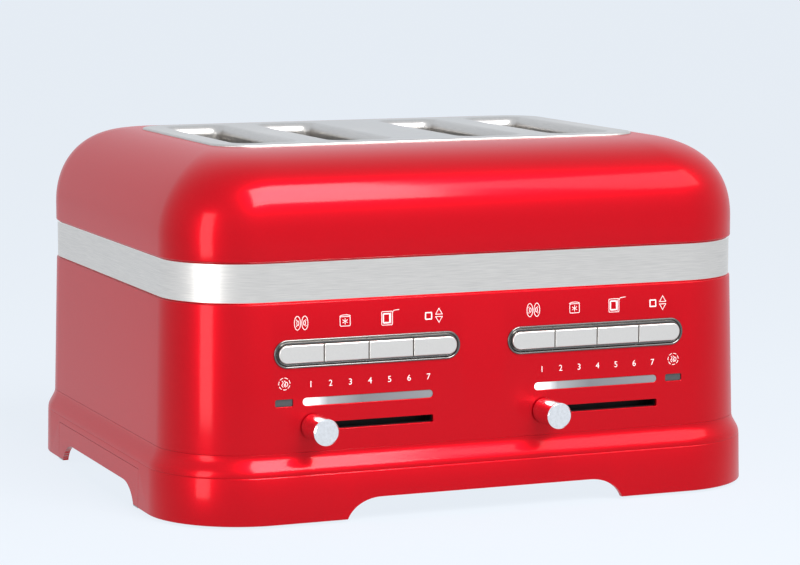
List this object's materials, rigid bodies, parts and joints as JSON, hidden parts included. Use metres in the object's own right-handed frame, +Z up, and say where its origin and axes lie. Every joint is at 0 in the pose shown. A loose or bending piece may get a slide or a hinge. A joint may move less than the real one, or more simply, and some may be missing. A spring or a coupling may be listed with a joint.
{
  "type": "pop up toaster",
  "caption": "Long-side automatic toaster with domed cover, bread slots over motor lifts, push buttons, shade sliders and side crumb trays.",
  "frame": {"origin": "middle of the footprint, on the surface that the rubber feet stand on", "axes": "+Z up, -Y towards the person at the controls, +X to that person's right"},
  "size_m": [0.3792, 0.356, 0.212],
  "materials": {
    "red_enamel": "gloss clear coat over deep red",
    "brushed_band": "horizontal brushing with polished edges",
    "satin_plate": "fine satin",
    "dark_chrome": "dark polished",
    "satin_button": "satin silver",
    "light_guide": "grey light guide, lit at its left end",
    "smoked_lamp": "smoked window",
    "knob_metal": "turned side, satin face",
    "black_plastic": "moulded",
    "circuit_board": "coated board",
    "rubber": "matt",
    "sheet_steel": "zinc-plated sheet",
    "screw_steel": "plated steel",
    "mica": "mica sheet",
    "heater_wire": "oxidised heating ribbon",
    "chrome_wire": "nickel-plated wire",
    "carriage_steel": "plated steel",
    "brass_gear": "turned brass",
    "motor_case": "plated motor can"
  },
  "bodies": {
    "frame": {"base_plinth": "red_enamel", "bottom_pan": "sheet_steel", "button_bezel_left": "dark_chrome", "button_bezel_right": "dark_chrome", "button_switches": "black_plastic", "centre_partition": "sheet_steel", "control_board": "circuit_board", "cord_inlet": "black_plastic", "heater_cards_left": "mica", "heater_cards_right": "mica", "heater_ribbons_left": "heater_wire", "heater_ribbons_right": "heater_wire", "lift_guide_rods": "screw_steel", "lift_motor_left": "motor_case", "lift_motor_right": "motor_case", "light_bar_left": "light_guide", "light_bar_right": "light_guide", "lower_housing": "red_enamel", "motor_brackets": "sheet_steel", "oven_plate_front": "sheet_steel", "oven_plate_rear": "sheet_steel", "pan_screws": "screw_steel", "power_board": "circuit_board", "rod_holders": "sheet_steel", "rubber_feet": "rubber", "shade_track_left": "black_plastic", "shade_track_right": "black_plastic", "side_reflector_left": "sheet_steel", "side_reflector_right": "sheet_steel", "top_plate": "satin_plate", "trim_band": "brushed_band", "upper_cover": "red_enamel", "warm_lamp_left": "smoked_lamp", "warm_lamp_right": "smoked_lamp"},
    "bagel_button_left": {"bagel_button_left": "satin_button"},
    "defrost_button_left": {"defrost_button_left": "satin_button"},
    "sandwich_button_left": {"sandwich_button_left": "satin_button"},
    "lift_button_left": {"lift_button_left": "satin_button"},
    "shade_control_left": {"shade_knob_left": "knob_metal", "shade_slider_left": "black_plastic"},
    "lift_left": {"lift_carriage_left": "carriage_steel", "bread_racks_left": "chrome_wire"},
    "pinion_left": {"lift_pinion_left": "brass_gear"},
    "guides_left_a": {"bread_guides_left_a": "chrome_wire"},
    "guides_left_b": {"bread_guides_left_b": "chrome_wire"},
    "tray_left": {"crumb_tray_left": "red_enamel"},
    "bagel_button_right": {"bagel_button_right": "satin_button"},
    "defrost_button_right": {"defrost_button_right": "satin_button"},
    "sandwich_button_right": {"sandwich_button_right": "satin_button"},
    "lift_button_right": {"lift_button_right": "satin_button"},
    "shade_control_right": {"shade_knob_right": "knob_metal", "shade_slider_right": "black_plastic"},
    "lift_right": {"lift_carriage_right": "carriage_steel", "bread_racks_right": "chrome_wire"},
    "pinion_right": {"lift_pinion_right": "brass_gear"},
    "guides_right_a": {"bread_guides_right_a": "chrome_wire"},
    "guides_right_b": {"bread_guides_right_b": "chrome_wire"},
    "tray_right": {"crumb_tray_right": "red_enamel"}
  },
  "joints": [
    {"name": "bagel_press_left", "type": "slide", "parent": "frame", "child": "bagel_button_left", "axis": [0, 1, 0], "range_m": [0, 0.0015], "stiffness_N_per_m": 400, "springref_m": -0.0015},
    {"name": "defrost_press_left", "type": "slide", "parent": "frame", "child": "defrost_button_left", "axis": [0, 1, 0], "range_m": [0, 0.0015], "stiffness_N_per_m": 400, "springref_m": -0.0015},
    {"name": "sandwich_press_left", "type": "slide", "parent": "frame", "child": "sandwich_button_left", "axis": [0, 1, 0], "range_m": [0, 0.0015], "stiffness_N_per_m": 400, "springref_m": -0.0015},
    {"name": "lift_press_left", "type": "slide", "parent": "frame", "child": "lift_button_left", "axis": [0, 1, 0], "range_m": [0, 0.0015], "stiffness_N_per_m": 400, "springref_m": -0.0015},
    {"name": "shade_slide_left", "type": "slide", "parent": "frame", "child": "shade_control_left", "axis": [1, 0, 0], "range_m": [0, 0.0679]},
    {"name": "lift_travel_left", "type": "slide", "parent": "frame", "child": "lift_left", "axis": [0, 0, -1], "range_m": [0, 0.07]},
    {"name": "pinion_turn_left", "type": "hinge", "parent": "frame", "child": "pinion_left", "pos_m": [-0.0484, -0.093, 0.11], "axis": [0, -1, 0], "range_deg": [0, 680]},
    {"name": "guide_close_left_a", "type": "slide", "parent": "frame", "child": "guides_left_a", "axis": [1, 0, 0], "range_m": [0, 0.006]},
    {"name": "guide_close_left_b", "type": "slide", "parent": "frame", "child": "guides_left_b", "axis": [-1, 0, 0], "range_m": [0, 0.006]},
    {"name": "tray_pull_left", "type": "slide", "parent": "frame", "child": "tray_left", "axis": [-1, 0, 0], "range_m": [0, 0.16]},
    {"name": "bagel_press_right", "type": "slide", "parent": "frame", "child": "bagel_button_right", "axis": [0, 1, 0], "range_m": [0, 0.0015], "stiffness_N_per_m": 400, "springref_m": -0.0015},
    {"name": "defrost_press_right", "type": "slide", "parent": "frame", "child": "defrost_button_right", "axis": [0, 1, 0], "range_m": [0, 0.0015], "stiffness_N_per_m": 400, "springref_m": -0.0015},
    {"name": "sandwich_press_right", "type": "slide", "parent": "frame", "child": "sandwich_button_right", "axis": [0, 1, 0], "range_m": [0, 0.0015], "stiffness_N_per_m": 400, "springref_m": -0.0015},
    {"name": "lift_press_right", "type": "slide", "parent": "frame", "child": "lift_button_right", "axis": [0, 1, 0], "range_m": [0, 0.0015], "stiffness_N_per_m": 400, "springref_m": -0.0015},
    {"name": "shade_slide_right", "type": "slide", "parent": "frame", "child": "shade_control_right", "axis": [1, 0, 0], "range_m": [0, 0.0679]},
    {"name": "lift_travel_right", "type": "slide", "parent": "frame", "child": "lift_right", "axis": [0, 0, -1], "range_m": [0, 0.07]},
    {"name": "pinion_turn_right", "type": "hinge", "parent": "frame", "child": "pinion_right", "pos_m": [0.0964, -0.093, 0.11], "axis": [0, -1, 0], "range_deg": [0, 680]},
    {"name": "guide_close_right_a", "type": "slide", "parent": "frame", "child": "guides_right_a", "axis": [1, 0, 0], "range_m": [0, 0.006]},
    {"name": "guide_close_right_b", "type": "slide", "parent": "frame", "child": "guides_right_b", "axis": [-1, 0, 0], "range_m": [0, 0.006]},
    {"name": "tray_pull_right", "type": "slide", "parent": "frame", "child": "tray_right", "axis": [1, 0, 0], "range_m": [0, 0.16]}
  ],
  "couplings": [
    {"joint": "pinion_turn_left", "follows": "lift_travel_left", "rad_per_m": 166.67},
    {"joint": "guide_close_left_a", "follows": "lift_travel_left", "ratio": 0.084286},
    {"joint": "guide_close_left_b", "follows": "lift_travel_left", "ratio": 0.084286},
    {"joint": "pinion_turn_right", "follows": "lift_travel_right", "rad_per_m": 166.67},
    {"joint": "guide_close_right_a", "follows": "lift_travel_right", "ratio": 0.084286},
    {"joint": "guide_close_right_b", "follows": "lift_travel_right", "ratio": 0.084286}
  ]
}
